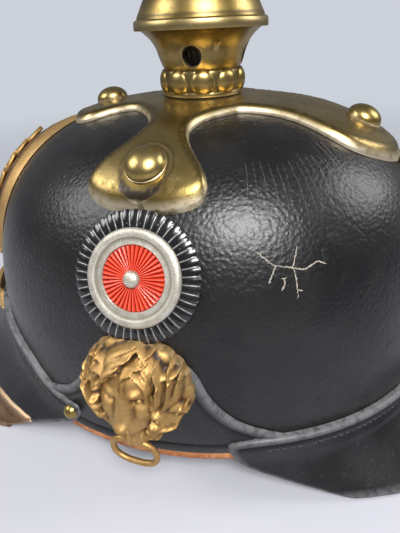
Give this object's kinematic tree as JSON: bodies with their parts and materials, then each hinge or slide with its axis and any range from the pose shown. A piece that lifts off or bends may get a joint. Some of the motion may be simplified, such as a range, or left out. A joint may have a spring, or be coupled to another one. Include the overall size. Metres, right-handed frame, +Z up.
{
  "type": "leather spiked parade helmet",
  "caption": "Spiked leather helmet with front and rear visors, brass cross base, screw-off spike, blank front plate, side cockades and lion heads with swinging rings.",
  "frame": {"origin": "on the floor that the helmet rests on, under the axis of the spike and midway between the tips of both visors", "axes": "+Z up along the spike, the front of the helmet looks along -Y, the wearer's left side is +X"},
  "size_m": [0.2118, 0.288, 0.2517],
  "materials": {
    "shell_leather": "semi-gloss crackled lacquer on leather",
    "visor_leather": "satin black leather",
    "brass_trim": "aged brown brass",
    "brass": "aged satin brass",
    "gilt": "warm gilt bronze",
    "welt": "worn orange-brown leather",
    "tan_leather": "worn tan leather",
    "felt": "dark felt",
    "iron": "dull iron",
    "black_lacquer": "gloss black lacquer",
    "silver": "frosted silver",
    "red_lacquer": "bright red lacquer"
  },
  "bodies": {
    "helmet": {"shell": "shell_leather", "front_visor": "visor_leather", "rear_visor": "visor_leather", "front_visor_trim": "brass_trim", "trim_studs": "brass_trim", "side_patch_left": "visor_leather", "side_patch_right": "visor_leather", "base_welt_left": "welt", "base_welt_right": "welt", "sweatband": "tan_leather", "lining_fingers": "tan_leather", "cross_base": "brass", "base_studs": "brass", "stud_washers": "felt", "stud_nuts": "iron", "neck_collar": "brass", "neck": "brass", "neck_lock_ring": "brass", "spike_bush": "brass", "front_plate": "gilt", "plate_wreath": "gilt", "plate_shield": "gilt", "plate_scroll": "gilt", "plate_nuts": "iron", "rear_spine": "brass", "spine_studs": "brass", "cockade_disc_left": "black_lacquer", "cockade_ring_left": "silver", "cockade_centre_left": "red_lacquer", "cockade_button_left": "silver", "cockade_nut_left": "iron", "lion_head_left": "gilt", "lion_nuts_left": "iron", "cockade_disc_right": "black_lacquer", "cockade_ring_right": "silver", "cockade_centre_right": "red_lacquer", "cockade_button_right": "silver", "cockade_nut_right": "iron", "lion_head_right": "gilt", "lion_nuts_right": "iron"},
    "spike_washer": {"spike_washer": "felt"},
    "spike": {"spike": "brass", "spike_stem": "iron"},
    "ring_left": {"lion_ring_left": "gilt"},
    "ring_right": {"lion_ring_right": "gilt"}
  },
  "joints": [
    {"name": "spike_lift", "type": "slide", "parent": "helmet", "child": "spike_washer", "axis": [0, 0, 1], "range_m": [0, 0.01601]},
    {"name": "spike_turn", "type": "hinge", "parent": "spike_washer", "child": "spike", "pos_m": [0, 0, 0.16], "axis": [0, 0, 1], "range_deg": [0, 2880]},
    {"name": "ring_left_swing", "type": "hinge", "parent": "helmet", "child": "ring_left", "pos_m": [0.0989, 0.00267, 0.034], "axis": [0, -1, 0], "range_deg": [0, 100]},
    {"name": "ring_right_swing", "type": "hinge", "parent": "helmet", "child": "ring_right", "pos_m": [-0.0989, 0.00267, 0.034], "axis": [0, 1, 0], "range_deg": [0, 100]}
  ],
  "couplings": [
    {"joint": "spike_lift", "follows": "spike_turn", "m_per_rad": 0.00031831}
  ]
}
